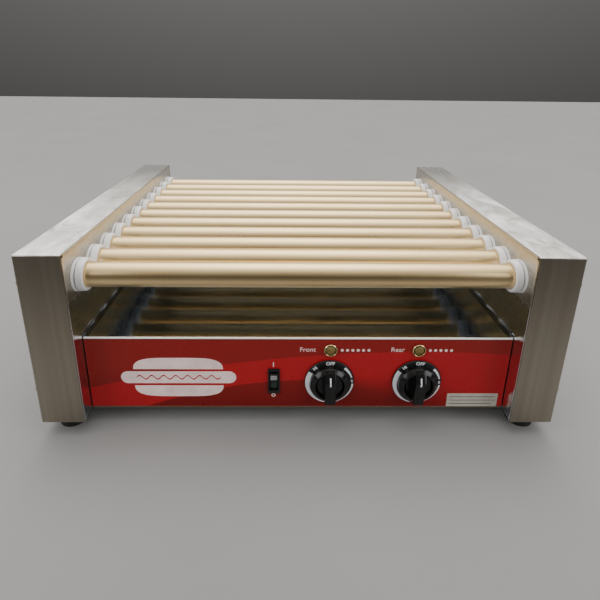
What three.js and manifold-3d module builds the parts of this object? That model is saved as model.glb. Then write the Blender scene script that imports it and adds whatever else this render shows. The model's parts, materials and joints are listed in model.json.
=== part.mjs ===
// A countertop hot dog roller grill. Eleven heated rollers run between two side towers and are
// turned by one chain in the right tower. A drip tray lies under them, on top of the control box.
// Millimetres. X points right, Y to the back and Z up; the origin is on the table, under the middle.
import * as THREE from 'three';
import { mergeVertices } from 'three/addons/utils/BufferGeometryUtils.js';
import Module from 'manifold-3d';

const wasm = await Module();
wasm.setup();

// ---- Driving dimensions ----
const WIDTH = 580; // over the two side covers, without their screw heads
const DEPTH = 444; // front to back of a tower
const TOP = 222; // table to the top of a tower
const TOWER_WIDTH = 48.5;
const SHEET = 1.2; // stainless sheet
const GAP = 0.3; // between pieces that touch
const FOOT_HEIGHT = 18;
const FOOT_R = 17;
const FOOT_SIDE_INSET = 23; // from a tower's outer side to the foot's axis
const FOOT_END_INSET = 27; // from a tower's front or back to the foot's axis

const ROLLERS = 11;
const FRONT_ZONE = 6; // rollers heated by the front control
const CHAIN_PITCH = 9.525;
const ROLLER_PITCH = 4 * CHAIN_PITCH;
const ROLLER_R = 13.75;
const ROLLER_WALL = 1.15;
const ROLLER_Z = 186.65;
const TEETH = 10; // on every sprocket
const HUB_R = 10.4; // neck behind each sprocket, clear of the chain's side plates
const HUB_BORE_R = 6.5;
const CHAIN_X = 262; // middle plane of the chain
const SPROCKET_WIDTH = 4.3;
const SHAFT_R = 5; // output shaft of the gearmotor
const REAR_LINKS = 14; // drive sprocket to the last roller, in chain links
const FRONT_LINKS = 38; // drive sprocket to the first roller, in chain links

const BUSH_R = 18.5;
const BUSH_BORE_R = 14.5;
const BUSH_SPIGOT_R = 16.3;
const BUSH_LENGTH = 11.5; // from the inner wall inwards
const BUSH_HOLE_R = 16.9;

const PANEL_RECESS = 21.1; // from a tower's front to the front of the control panel
const PANEL_BOTTOM = 20.8;
const BACK_RECESS = 24; // from a tower's back to the back wall of the control box
const DECK_Z = 111; // underside of the deck that closes the control box
const LIP = 14; // width of a folded edge
const PANEL_GAP = 0.5; // between a tower's wall and the panel
const TRAY_GAP = 0.75; // between a tower's wall and the tray
const LOUVRES = { count: 10, x: 20, step: 18, width: 5, from: 50, to: 90 }; // in the back wall
const GLAND = { x: -170, z: 55, holeR: 8.2 };

const KNOB_X = [35, 136];
const KNOB_Z = 57.4;
const KNOB_R = 28.5;
const KNOB_HUB_R = 23;
const KNOB_GRIP = { width: 11, length: 40, out: 19 };
const KNOB_HOLE_R = 6;
const LAMP_X = [35.4, 135.5];
const LAMP_Z = 99;
const LAMP_HOLE_R = 6.6;
const SWITCH = { x: -28.8, z: 57.7, width: 13.6, height: 33.2, holeX: 12.4, holeZ: 28.8 };
const SWITCH_TILT = 12; // degrees either side of the middle
const SCREW_INSET = 6.5; // cover screws, from a tower's front and back
const SCREW_R = 4.5;
const SCREW_HEAD = 2.6;
const SCREW_Z = [60, 190];

// ---- Places that follow from them ----
const OUTER_X = WIDTH / 2;
const INNER_X = OUTER_X - TOWER_WIDTH; // the walls' faces towards the rollers
const SHAFT_END_X = INNER_X - 25; // inner end of the output shaft, in the gearbox
const END_Y = DEPTH / 2;
const PANEL_Y = -END_Y + PANEL_RECESS;
const BACK_WALL_Y = END_Y - BACK_RECESS;
const PAN_Z = FOOT_HEIGHT + GAP;
const PAN_TOP = PAN_Z + SHEET;
const OVERLAY_T = 0.5;
const PLATE_OUT = -OVERLAY_T - GAP; // the panel's steel, measured outwards from the overlay's face
const PLATE_IN = PLATE_OUT - SHEET;
const PANEL_BACK_Y = PANEL_Y - PLATE_IN;
const TRAY_Z = DECK_Z + SHEET + GAP;

const rollerY = (i) => (i - (ROLLERS - 1) / 2) * ROLLER_PITCH;
const twoDigits = (i) => String(i + 1).padStart(2, '0');
const radians = THREE.MathUtils.degToRad;

// The drive sprocket lies a whole number of links from the first and the last roller's sprocket.
const SPAN_LINKS = (ROLLERS - 1) * ROLLER_PITCH / CHAIN_PITCH;
const ALONG_LINKS = (FRONT_LINKS ** 2 - REAR_LINKS ** 2 + SPAN_LINKS ** 2) / (2 * SPAN_LINKS);
const DRIVE_Y = rollerY(0) + ALONG_LINKS * CHAIN_PITCH;
const DRIVE_Z = ROLLER_Z - Math.sqrt(FRONT_LINKS ** 2 - ALONG_LINKS ** 2) * CHAIN_PITCH;
const PIN_CIRCLE_R = CHAIN_PITCH / 2 / Math.sin(Math.PI / TEETH);

// ---- Materials ----
const finish = (color, roughness, metalness) =>
  new THREE.MeshStandardMaterial({ color, roughness, metalness });
const BRUSHED = finish(0xb9b3a8, 0.38, 1);
const POLISHED = finish(0xa8a49b, 0.12, 1);
const SATIN_ROLLER = finish(0xc9b898, 0.34, 1);
const WHITE_BUSH = finish(0xf2f2f0, 0.45, 0);
const RED = finish(0x6b1a14, 0.3, 0);
const BLACK = finish(0x141414, 0.3, 0);
const RUBBER = finish(0x1a1a1a, 0.8, 0);
const AMBER = finish(0x8a6a2c, 0.15, 0);
const STEEL = finish(0x8a8a88, 0.45, 1);
const DARK_STEEL = finish(0x4a4a4c, 0.4, 1);
const CERAMIC = finish(0xd8d2c4, 0.7, 0);

// ---- Geometry helpers ----
function box(x0, x1, y0, y1, z0, z1) {
  return new THREE.BoxGeometry(Math.abs(x1 - x0), Math.abs(y1 - y0), Math.abs(z1 - z0))
    .translate((x0 + x1) / 2, (y0 + y1) / 2, (z0 + z1) / 2);
}

function rodX(r, x0, x1, y, z, sides) {
  return new THREE.CylinderGeometry(r, r, Math.abs(x1 - x0), sides)
    .rotateZ(Math.PI / 2).translate((x0 + x1) / 2, y, z);
}

function rodZ(r, z0, z1, x, y, sides) {
  return new THREE.CylinderGeometry(r, r, Math.abs(z1 - z0), sides)
    .rotateX(Math.PI / 2).translate(x, y, (z0 + z1) / 2);
}

// A profile of [radius, height] pairs, turned round the Y axis.
function turned(profile, sides) {
  return new THREE.LatheGeometry(profile.map(([r, h]) => new THREE.Vector2(r, h)), sides);
}

// A shape drawn in Y and Z, extruded from x0 to x1.
const YZ_TO_X = new THREE.Matrix4().makeBasis(
  new THREE.Vector3(0, 1, 0), new THREE.Vector3(0, 0, 1), new THREE.Vector3(1, 0, 0));
function extrudeX(shape, x0, x1) {
  return new THREE.ExtrudeGeometry(shape, { depth: x1 - x0, bevelEnabled: false })
    .applyMatrix4(YZ_TO_X).translate(x0, 0, 0);
}

function solid(geometry) {
  const bare = geometry.clone();
  bare.deleteAttribute('normal');
  bare.deleteAttribute('uv');
  const merged = mergeVertices(bare);
  return new wasm.Manifold(new wasm.Mesh({
    numProp: 3,
    vertProperties: merged.attributes.position.array,
    triVerts: new Uint32Array(merged.index.array),
  }));
}

const joined = (...pieces) => pieces.map(solid).reduce((sum, piece) => sum.add(piece));
const cut = (body, ...tools) => tools.reduce((left, tool) => left.subtract(solid(tool)), body);

function geometryOf(manifold) {
  const found = manifold.getMesh();
  const geometry = new THREE.BufferGeometry();
  geometry.setAttribute('position', new THREE.BufferAttribute(found.vertProperties, 3));
  geometry.setIndex(new THREE.BufferAttribute(found.triVerts, 1));
  geometry.computeVertexNormals();
  return geometry;
}

function piece(name, shape, material) {
  const mesh = new THREE.Mesh(shape.isBufferGeometry ? shape : geometryOf(shape), material);
  mesh.name = name;
  return mesh;
}

const grill = new THREE.Group();

// ---- Rollers, their bushes and the chain drive ----
// A sprocket's outline: a flat seat at each chain joint, one of them at the top, and a blunt tooth
// after it.
function sprocketShape() {
  const seat = { r: 12.6, half: 7 };
  const tip = { r: 17.2, half: 4 };
  const step = 360 / TEETH;
  const at = (r, degrees) => new THREE.Vector2(
    r * Math.cos(radians(degrees)), r * Math.sin(radians(degrees)));
  const outline = [];
  for (let tooth = 0; tooth < TEETH; tooth++) {
    const seatAngle = 90 + tooth * step;
    const tipAngle = seatAngle + step / 2;
    outline.push(at(seat.r, seatAngle - seat.half), at(seat.r, seatAngle + seat.half));
    outline.push(at(tip.r, tipAngle - tip.half), at(tip.r, tipAngle + tip.half));
  }
  return new THREE.Shape(outline);
}

const sprocketDisc = () =>
  extrudeX(sprocketShape(), CHAIN_X - SPROCKET_WIDTH / 2, CHAIN_X + SPROCKET_WIDTH / 2);

// A thin tube with a narrower hub pressed into its right end, which carries the sprocket. A bore
// runs through both for the heating rod.
function rollerSolid() {
  const leftEnd = -INNER_X - 10.5;
  const tubeEnd = CHAIN_X - 6;
  const plug = 5;
  const hubEnd = CHAIN_X + 4;
  const body = joined(
    rodX(ROLLER_R, leftEnd, tubeEnd, 0, 0, 18), rodX(HUB_R, tubeEnd - plug, hubEnd, 0, 0, 12),
    sprocketDisc());
  return cut(body,
    rodX(ROLLER_R - ROLLER_WALL, leftEnd - 1, tubeEnd - plug, 0, 0, 12),
    rodX(HUB_BORE_R, tubeEnd - plug - 1, hubEnd + 1, 0, 0, 10));
}

// A plain bush, with a spigot through the wall's hole and a thick collar on the roller's side.
function bushGeometry(side) {
  const wall = INNER_X - GAP;
  const profile = [
    [BUSH_BORE_R, wall - BUSH_LENGTH], [BUSH_R, wall - BUSH_LENGTH], [BUSH_R, wall],
    [BUSH_SPIGOT_R, wall], [BUSH_SPIGOT_R, wall + 5], [BUSH_BORE_R, wall + 5],
    [BUSH_BORE_R, wall - BUSH_LENGTH],
  ];
  return turned(profile, 14).rotateZ(-side * Math.PI / 2);
}

function addRollers() {
  const roller = geometryOf(rollerSolid());
  const leftBush = bushGeometry(-1);
  const rightBush = bushGeometry(1);
  for (let i = 0; i < ROLLERS; i++) {
    const station = new THREE.Group();
    station.position.set(0, rollerY(i), ROLLER_Z);
    station.add(piece('roller_' + twoDigits(i), roller, SATIN_ROLLER));
    station.add(piece('left_bush_' + twoDigits(i), leftBush, WHITE_BUSH));
    station.add(piece('right_bush_' + twoDigits(i), rightBush, WHITE_BUSH));
    grill.add(station);
  }
}

// The sprocket and the gearmotor's output shaft that it is keyed to.
function driveSprocket() {
  const shape = joined(
    sprocketDisc(), rodX(9, CHAIN_X - 12, CHAIN_X, 0, 0, 12),
    rodX(SHAFT_R, SHAFT_END_X, CHAIN_X + 6, 0, 0, 12));
  const mesh = piece('drive_sprocket', shape, DARK_STEEL);
  mesh.position.set(0, DRIVE_Y, DRIVE_Z);
  return mesh;
}

// The chain's joints at the corners of its loop, anticlockwise from the top of the first roller.
function chainCorners() {
  const wraps = [
    { y: rollerY(0), z: ROLLER_Z, from: 0, to: 4 },
    { y: DRIVE_Y, z: DRIVE_Z, from: 4, to: 7 },
    { y: rollerY(ROLLERS - 1), z: ROLLER_Z, from: 7, to: 10 },
  ];
  return wraps.flatMap(({ y, z, from, to }) => {
    const joints = [];
    for (let k = from; k <= to; k++) {
      const a = Math.PI / 2 + k * 2 * Math.PI / TEETH;
      joints.push(new THREE.Vector2(y + PIN_CIRCLE_R * Math.cos(a), z + PIN_CIRCLE_R * Math.sin(a)));
    }
    return joints;
  });
}

// A convex anticlockwise polygon with each side moved out by a distance.
function offset(polygon, distance) {
  return polygon.map((corner, i) => {
    const into = corner.clone().sub(polygon.at(i - 1)).normalize();
    const out = polygon[(i + 1) % polygon.length].clone().sub(corner).normalize();
    const miter = new THREE.Vector2(into.y + out.y, -into.x - out.x);
    return corner.clone().addScaledVector(miter, distance / (1 + into.dot(out)));
  });
}

// The roller chain: a band of side plates on each side of the sprockets, and its rollers between
// them. Every second joint's roller is there.
function driveChain() {
  const corners = chainCorners();
  const half = 3.6;
  const band = new THREE.Shape(offset(corners, half));
  band.holes.push(new THREE.Path(offset(corners, -half)));
  const pieces = [-1, 1].map((side) => {
    const middle = CHAIN_X + side * 3.25;
    return extrudeX(band, middle - 0.65, middle + 0.65);
  });
  const joints = corners.flatMap((from, i) => {
    const to = corners[(i + 1) % corners.length];
    const links = Math.round(from.distanceTo(to) / CHAIN_PITCH);
    return Array.from({ length: links }, (_, k) => from.clone().lerp(to, k / links));
  });
  joints.filter((_, i) => i % 2 === 0).forEach(({ x: y, y: z }) => {
    pieces.push(rodX(1.9, CHAIN_X - 3.3, CHAIN_X + 3.3, y, z, 4));
  });
  return piece('drive_chain', joined(...pieces), DARK_STEEL);
}

// A gearbox bolted to the right wall, with a boss round its shaft, and the motor behind it.
function gearmotor() {
  const face = INNER_X - GAP;
  const gearbox = { depth: 36, half: 32 };
  const motor = { r: 27, length: 85 };
  const boss = { r: 9, out: 5 };
  const back = face - gearbox.depth;
  const shape = cut(
    joined(
      box(back, face, DRIVE_Y - gearbox.half, DRIVE_Y + gearbox.half,
        DRIVE_Z - gearbox.half, DRIVE_Z + gearbox.half),
      rodX(motor.r, back - motor.length, back + 1, DRIVE_Y, DRIVE_Z, 16),
      rodX(boss.r, face - 1, face + boss.out, DRIVE_Y, DRIVE_Z, 12)),
    rodX(SHAFT_R + 0.6, SHAFT_END_X - 3, face + boss.out + 1, DRIVE_Y, DRIVE_Z, 12));
  return piece('gearmotor', shape, STEEL);
}

// Heating rods, one down each roller of a zone, held at both ends by a carrier strip.
function heatingElements(name, first, last) {
  const left = -INNER_X - 20;
  const right = CHAIN_X + 10;
  const strip = (x) => box(x, x + 2, rollerY(first) - 8, rollerY(last) + 8,
    ROLLER_Z - 8, ROLLER_Z + 8);
  const bracket = (y) => box(left, -INNER_X - SHEET - GAP, y - 3, y + 3,
    ROLLER_Z - 8, ROLLER_Z - 6.5);
  const pieces = [strip(left), strip(right - 2)];
  for (let i = first; i <= last; i++) {
    pieces.push(rodX(4, left - 2, right + 2, rollerY(i), ROLLER_Z, 8));
  }
  for (let i = first; i < last; i++) {
    pieces.push(bracket((rollerY(i) + rollerY(i + 1)) / 2));
  }
  return piece(name, joined(...pieces), STEEL);
}

// ---- Side towers ----
// The cover: outer side, front, back and top of a tower in one folded sheet, with its screws.
function sideCover(name, side) {
  const outer = box(side * INNER_X, side * OUTER_X, -END_Y, END_Y, FOOT_HEIGHT, TOP);
  const hollow = box(side * (INNER_X - 1), side * (OUTER_X - SHEET),
    SHEET - END_Y, END_Y - SHEET, FOOT_HEIGHT - 1, TOP - SHEET);
  const screws = SCREW_Z.flatMap((z) => [-1, 1].map((end) =>
    rodX(SCREW_R, side * (OUTER_X - 0.5), side * (OUTER_X + SCREW_HEAD),
      end * (END_Y - SCREW_INSET), z, 10)));
  return piece(name, joined(geometryOf(cut(solid(outer), hollow)), ...screws), BRUSHED);
}

// The wall between a tower and the rollers, with its front, back and top edges folded outwards.
function innerPanel(name, side, ...holes) {
  const inset = SHEET + GAP;
  const wall = box(side * INNER_X, side * (INNER_X + LIP), inset - END_Y, END_Y - inset,
    PAN_TOP + GAP, TOP - inset);
  const hollow = box(side * (INNER_X + SHEET), side * (INNER_X + LIP + 1),
    inset + SHEET - END_Y, END_Y - inset - SHEET, PAN_TOP - 1, TOP - inset - SHEET);
  const bushHoles = Array.from({ length: ROLLERS }, (_, i) =>
    rodX(BUSH_HOLE_R, side * (INNER_X - 1), side * (INNER_X + 3), rollerY(i), ROLLER_Z, 14));
  return piece(name, cut(solid(wall), hollow, ...bushHoles, ...holes), POLISHED);
}

function foot(name, x, y) {
  const shape = new THREE.CylinderGeometry(FOOT_R, FOOT_R - 2, FOOT_HEIGHT, 16)
    .rotateX(Math.PI / 2).translate(x, y, FOOT_HEIGHT / 2);
  return piece(name, shape, RUBBER);
}

// ---- Control box ----
// The bottom pan, under both towers and the box, with its back edge folded up as the back wall.
function basePan() {
  const reach = OUTER_X - SHEET - GAP;
  const wallX = INNER_X - GAP;
  const end = END_Y - SHEET - GAP;
  const pan = joined(
    box(-reach, reach, PANEL_BACK_Y, BACK_WALL_Y, PAN_Z, PAN_TOP),
    box(-reach, -INNER_X, -end, end, PAN_Z, PAN_TOP),
    box(INNER_X, reach, -end, end, PAN_Z, PAN_TOP),
    box(-wallX, wallX, BACK_WALL_Y - SHEET, BACK_WALL_Y, PAN_Z, DECK_Z - GAP));
  const slots = Array.from({ length: LOUVRES.count }, (_, i) => {
    const x = LOUVRES.x + i * LOUVRES.step;
    return box(x, x + LOUVRES.width, BACK_WALL_Y - 2, BACK_WALL_Y + 1, LOUVRES.from, LOUVRES.to);
  });
  const glandHole = new THREE.CylinderGeometry(GLAND.holeR, GLAND.holeR, 4, 12)
    .translate(GLAND.x, BACK_WALL_Y, GLAND.z);
  return piece('base_pan', cut(pan, ...slots, glandHole), BRUSHED);
}

// Where the supply cord would enter: a gland in the back wall, with its bore open.
function cordGland() {
  const profile = [
    [4, -8], [7.6, -8], [7.6, GAP], [12, GAP], [12, 7], [9, 7], [9, 18], [6.5, 22], [4, 22], [4, -8],
  ];
  const mesh = piece('cord_gland', turned(profile, 12), BLACK);
  mesh.position.set(GLAND.x, BACK_WALL_Y, GLAND.z);
  return mesh;
}

// The lid of the control box, which the drip tray slides on.
function trayDeck() {
  const x = INNER_X - GAP;
  const from = PANEL_BACK_Y + LIP + GAP;
  const to = BACK_WALL_Y - SHEET - GAP;
  return piece('tray_deck', joined(
    box(-x, x, from, to, DECK_Z, DECK_Z + SHEET),
    box(-x, SHEET - x, from, to, DECK_Z - LIP, DECK_Z + SHEET),
    box(x - SHEET, x, from, to, DECK_Z - LIP, DECK_Z + SHEET)), STEEL);
}

// A flat tray with a hem at the front, low side rims and a higher back rim.
function dripTray() {
  const x = INNER_X - TRAY_GAP;
  const sheet = 1;
  const back = BACK_WALL_Y - 2;
  return piece('drip_tray', joined(
    box(-x, x, PANEL_Y, back, TRAY_Z, TRAY_Z + sheet),
    box(-x, x, PANEL_Y, PANEL_Y + 2, TRAY_Z, TRAY_Z + 1.8),
    box(-x, sheet - x, PANEL_Y, back, TRAY_Z, TRAY_Z + 4.5),
    box(x - sheet, x, PANEL_Y, back, TRAY_Z, TRAY_Z + 4.5),
    box(-x, x, back - sheet, back, TRAY_Z, TRAY_Z + 8)), POLISHED);
}

// A frame on the control panel at x and z, with its own X right, Y up and Z outwards.
function onPanel(x, z) {
  const frame = new THREE.Group();
  frame.position.set(x, PANEL_Y, z);
  frame.rotation.x = Math.PI / 2;
  return frame;
}

// The openings that both the panel's steel and its overlay have, in the panel's own frame.
function panelHoles() {
  const through = (r, x, z) => rodZ(r, PLATE_IN - 1, 1, x, z, 14);
  return [
    ...KNOB_X.map((x) => through(KNOB_HOLE_R, x, KNOB_Z)),
    ...LAMP_X.map((x) => through(LAMP_HOLE_R, x, LAMP_Z)),
    box(SWITCH.x - SWITCH.holeX / 2, SWITCH.x + SWITCH.holeX / 2,
      SWITCH.z - SWITCH.holeZ / 2, SWITCH.z + SWITCH.holeZ / 2, PLATE_IN - 1, 1),
  ];
}

function addPanel() {
  const x = INNER_X - PANEL_GAP;
  const top = DECK_Z + SHEET;
  const back = PLATE_IN - LIP;
  const steel = cut(joined(
    box(-x, x, PANEL_BOTTOM, top, PLATE_IN, PLATE_OUT),
    box(-x, x, DECK_Z, top, back, PLATE_OUT),
    box(-x, x, PANEL_BOTTOM, PANEL_BOTTOM + SHEET, back, PLATE_OUT),
    box(-x, SHEET - x, PANEL_BOTTOM, top, back, PLATE_OUT),
    box(x - SHEET, x, PANEL_BOTTOM, top, back, PLATE_OUT)), ...panelHoles());
  const overlay = cut(solid(box(0.4 - x, x - 0.4, PANEL_BOTTOM + 0.6, top - 0.4, -OVERLAY_T, 0)),
    ...panelHoles());
  const panel = onPanel(0, 0);
  panel.add(piece('control_panel', steel, BRUSHED));
  panel.add(piece('panel_overlay', overlay, RED));
  grill.add(panel);
}

// A skirted knob: a wide thin skirt, a round hub and a grip bar across it, bored for the shaft.
function knobSolid() {
  const { width, length, out } = KNOB_GRIP;
  const profile = [
    [0, 0.8], [KNOB_R, 0.8], [KNOB_R - 0.6, 2.6], [KNOB_HUB_R, 3.2], [KNOB_HUB_R - 2, 10],
    [KNOB_HUB_R - 6, 12.5], [0, 12.5],
  ];
  const grip = box(-width / 2, width / 2, -length / 2, length / 2, 3, out);
  return cut(joined(turned(profile, 24).rotateX(Math.PI / 2), grip), rodZ(3.6, 0, 12, 0, 0, 12));
}

// A rotary heat control behind the panel, whose shaft carries the knob.
function heatControlSolid() {
  return joined(
    box(-18, 18, -20, 20, PLATE_IN - 32, PLATE_IN - GAP), rodZ(4.6, PLATE_IN - 1, 0.2, 0, 0, 12),
    rodZ(3, -1, 11, 0, 0, 12));
}

// A round pilot lamp: a lens in a rim in front of the panel, and its holder behind it.
function lampGeometry() {
  const profile = [
    [0, -28], [6, -28], [6, GAP], [7.8, GAP], [7.8, 1.8], [6.2, 2.2], [5, 3.6], [0, 4.4],
  ];
  return turned(profile, 16).rotateX(Math.PI / 2);
}

function addHeatControls() {
  const knob = geometryOf(knobSolid());
  const control = geometryOf(heatControlSolid());
  const lamp = lampGeometry();
  ['front', 'rear'].forEach((zone, i) => {
    const station = onPanel(KNOB_X[i], KNOB_Z);
    station.add(piece(zone + '_knob', knob, BLACK));
    station.add(piece(zone + '_heat_control', control, CERAMIC));
    const lampStation = onPanel(LAMP_X[i], LAMP_Z);
    lampStation.add(piece(zone + '_pilot_lamp', lamp, AMBER));
    grill.add(station, lampStation);
  });
}

// A snap-in rocker switch: a hollow body with a bezel, and the rocker on its two trunnions.
function addPowerSwitch() {
  const { x, z, width, height } = SWITCH;
  const cavity = { x: 4.9, y: 12.5, back: -9 };
  const trunnion = { r: 1.1, clear: 0.4, reach: 5.5 };
  const body = cut(
    joined(
      box(-width / 2, width / 2, -height / 2, height / 2, GAP, GAP + 1.6),
      box(-5.8, 5.8, -14, 14, -22, GAP + 0.5)),
    box(-cavity.x, cavity.x, -cavity.y, cavity.y, cavity.back, 4),
    rodX(trunnion.r + trunnion.clear, -7, 7, 0, 0, 8));
  const faces = new THREE.Shape([
    [-8, -6], [8, -6], [11.8, 0.6], [11.8, 2.2], [0, 0.9], [-11.8, 2.2], [-11.8, 0.6],
  ].map(([y, out]) => new THREE.Vector2(y, out)));
  const rocker = piece('power_switch_rocker', joined(
    extrudeX(faces, -cavity.x + GAP, cavity.x - GAP),
    rodX(trunnion.r, -trunnion.reach, trunnion.reach, 0, 0, 8)), BLACK);
  rocker.rotation.x = radians(SWITCH_TILT);
  const station = onPanel(x, z);
  station.add(piece('power_switch_body', body, BLACK), rocker);
  grill.add(station);
}

// ---- Assembly ----
addRollers();
grill.add(driveSprocket(), driveChain(), gearmotor());
grill.add(heatingElements('front_heating_elements', 0, FRONT_ZONE - 1));
grill.add(heatingElements('rear_heating_elements', FRONT_ZONE, ROLLERS - 1));
const shaftHole = rodX(11, INNER_X - 1, INNER_X + 3, DRIVE_Y, DRIVE_Z, 12);
grill.add(innerPanel('left_inner_panel', -1), innerPanel('right_inner_panel', 1, shaftHole));
grill.add(sideCover('left_side_cover', -1), sideCover('right_side_cover', 1));
for (const [sideName, side] of [['left', -1], ['right', 1]]) {
  for (const [endName, end] of [['front', -1], ['rear', 1]]) {
    const x = side * (OUTER_X - FOOT_SIDE_INSET);
    grill.add(foot(`${endName}_${sideName}_foot`, x, end * (END_Y - FOOT_END_INSET)));
  }
}
grill.add(basePan(), cordGland(), trayDeck(), dripTray());
addPanel();
addHeatControls();
addPowerSwitch();

export default grill;
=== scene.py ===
# The looks of the hot dog roller grill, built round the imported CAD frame. Metres, +Z up,
# X along the rollers, Y to the back; the origin is on the table under the middle of the grill.
import json
import math
import bmesh
import bpy
from mathutils import Matrix, Vector


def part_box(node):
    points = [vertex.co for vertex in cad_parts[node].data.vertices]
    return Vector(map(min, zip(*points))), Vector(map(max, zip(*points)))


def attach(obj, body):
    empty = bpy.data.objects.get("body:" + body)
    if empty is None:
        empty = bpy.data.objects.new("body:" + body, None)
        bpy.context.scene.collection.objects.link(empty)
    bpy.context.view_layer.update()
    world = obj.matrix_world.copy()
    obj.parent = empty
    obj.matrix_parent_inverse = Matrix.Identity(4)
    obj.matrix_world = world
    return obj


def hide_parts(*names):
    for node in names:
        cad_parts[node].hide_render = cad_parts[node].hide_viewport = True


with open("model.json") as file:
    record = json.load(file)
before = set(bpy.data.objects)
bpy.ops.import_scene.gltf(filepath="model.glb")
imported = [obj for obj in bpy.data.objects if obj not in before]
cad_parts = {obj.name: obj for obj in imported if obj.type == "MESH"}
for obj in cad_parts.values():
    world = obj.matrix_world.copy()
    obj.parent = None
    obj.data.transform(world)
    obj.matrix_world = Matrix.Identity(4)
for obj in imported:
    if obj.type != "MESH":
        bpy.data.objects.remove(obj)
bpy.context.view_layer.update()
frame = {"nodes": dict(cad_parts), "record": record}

MM = 0.001
SHEET = 1.2 * MM
FLAT_FROM = 0.001  # square metres: larger faces of folded sheet are shaded flat
SCREW_HEAD = 2.6 * MM  # how far a cover screw stands out
ROLLER_R = 13.75 * MM
BUSH_TAIL = 5 * MM  # how far a bush reaches into its wall
BUSH_GROOVE = (2.3 * MM, 3.9 * MM)  # from the wall
ROLLERS = [name for name in sorted(frame["nodes"]) if name.startswith("roller_")]
FEET = [name for name in sorted(frame["nodes"]) if name.endswith("_foot")]


# ---- Camera ----
def make_camera():
    """The camera stands in front of the grill and a little above its rollers, looking down on them."""
    place = Vector((-0.0184, -0.6344, 0.4002))
    pitch, yaw, roll = math.radians(-17.176), math.radians(0.89), math.radians(0.651)
    ahead = Vector((math.sin(yaw) * math.cos(pitch), math.cos(yaw) * math.cos(pitch), math.sin(pitch)))
    level = Vector((math.cos(yaw), -math.sin(yaw), 0))
    above = level.cross(ahead)
    right = level * math.cos(roll) + above * math.sin(roll)
    up = above * math.cos(roll) - level * math.sin(roll)
    lens = bpy.data.cameras.new("camera")
    lens.sensor_width = 36
    lens.lens = 26.76
    lens.shift_x = 0.0155
    lens.shift_y = -0.1531
    camera = bpy.data.objects.new("camera", lens)
    camera.matrix_world = Matrix.Translation(place) @ Matrix((right, up, -ahead)).transposed().to_4x4()
    bpy.context.scene.collection.objects.link(camera)
    bpy.context.scene.camera = camera


make_camera()


# ---- Node helpers for materials ----
class Shader:
    """A material under construction: its tree, and its Principled BSDF with uniform values set."""

    def __init__(self, name, color, roughness, metallic=0.0, **uniform):
        self.material = bpy.data.materials.new(name)
        self.material.use_nodes = True
        self.tree = self.material.node_tree
        self.bsdf = self.tree.nodes["Principled BSDF"]
        self.bsdf.inputs["Base Color"].default_value = (*color, 1)
        self.bsdf.inputs["Roughness"].default_value = roughness
        self.bsdf.inputs["Metallic"].default_value = metallic
        for socket, value in uniform.items():
            self.bsdf.inputs[socket.replace("_", " ")].default_value = value

    def node(self, kind, *links, **settings):
        """A new node with its settings, and with links or numbers put into its inputs in order."""
        made = self.tree.nodes.new(kind)
        for key, value in settings.items():
            setattr(made, key, value)
        for socket, value in zip(made.inputs, links):
            self.put(value, socket)
        return made

    def put(self, value, socket):
        if value is None:
            return
        if isinstance(value, bpy.types.NodeSocket):
            self.tree.links.new(value, socket)
        else:
            socket.default_value = value

    def math(self, operation, *values):
        return self.node("ShaderNodeMath", *values, operation=operation).outputs[0]

    def coordinates(self, scale=(1, 1, 1), shift=(0, 0, 0)):
        """The scene's coordinates at rest, in metres, times a scale for each axis."""
        source = self.node("ShaderNodeTexCoord").outputs["Object"]
        return self.node("ShaderNodeMapping", source, shift, None, scale).outputs[0]

    def noise(self, scale, detail=2.0, rough=0.5, distortion=0.0, shift=(0, 0, 0)):
        made = self.node("ShaderNodeTexNoise")
        stretch = scale if isinstance(scale, tuple) else (scale, scale, scale)
        self.put(self.coordinates(stretch, shift), made.inputs["Vector"])
        made.inputs["Scale"].default_value = 1
        made.inputs["Detail"].default_value = detail
        made.inputs["Roughness"].default_value = rough
        made.inputs["Distortion"].default_value = distortion
        return made.outputs["Fac"]

    def spread(self, value, low, high, start=0.3, end=0.7):
        """value between start and end becomes low to high."""
        return self.node("ShaderNodeMapRange", value, start, end, low, high).outputs[0]

    def mix(self, share, first, second):
        made = self.node("ShaderNodeMix", data_type="RGBA")
        self.put(share, made.inputs["Factor"])
        self.put(first, made.inputs["A"])
        self.put(second, made.inputs["B"])
        return made.outputs["Result"]

    def blend(self, share, first, second):
        made = self.node("ShaderNodeMix", data_type="FLOAT")
        self.put(share, made.inputs[0])
        self.put(first, made.inputs[2])
        self.put(second, made.inputs[3])
        return made.outputs[0]

    def axis(self, name):
        """One of the coordinates, in metres."""
        return self.node("ShaderNodeSeparateXYZ", self.coordinates()).outputs[name]

    def color(self, value):
        self.put(value, self.bsdf.inputs["Base Color"])
        return self

    def roughness(self, value):
        self.put(value, self.bsdf.inputs["Roughness"])
        return self

    def bump(self, height, distance, strength=1.0):
        """Adds height, times distance in metres, to the surface."""
        made = self.node("ShaderNodeBump")
        made.inputs["Strength"].default_value = strength
        made.inputs["Distance"].default_value = distance
        self.put(height, made.inputs["Height"])
        earlier = self.bsdf.inputs["Normal"].links
        if earlier:
            self.put(earlier[0].from_socket, made.inputs["Normal"])
        self.put(made.outputs[0], self.bsdf.inputs["Normal"])
        return self

    def facing(self, axis):
        """How much the surface faces along an axis, either way, from 0 to 1."""
        normal = self.node("ShaderNodeNewGeometry").outputs["Normal"]
        parts = self.node("ShaderNodeSeparateXYZ", normal)
        return self.math("ABSOLUTE", parts.outputs[axis])


def rgba(r, g, b):
    return (r, g, b, 1)


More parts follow.
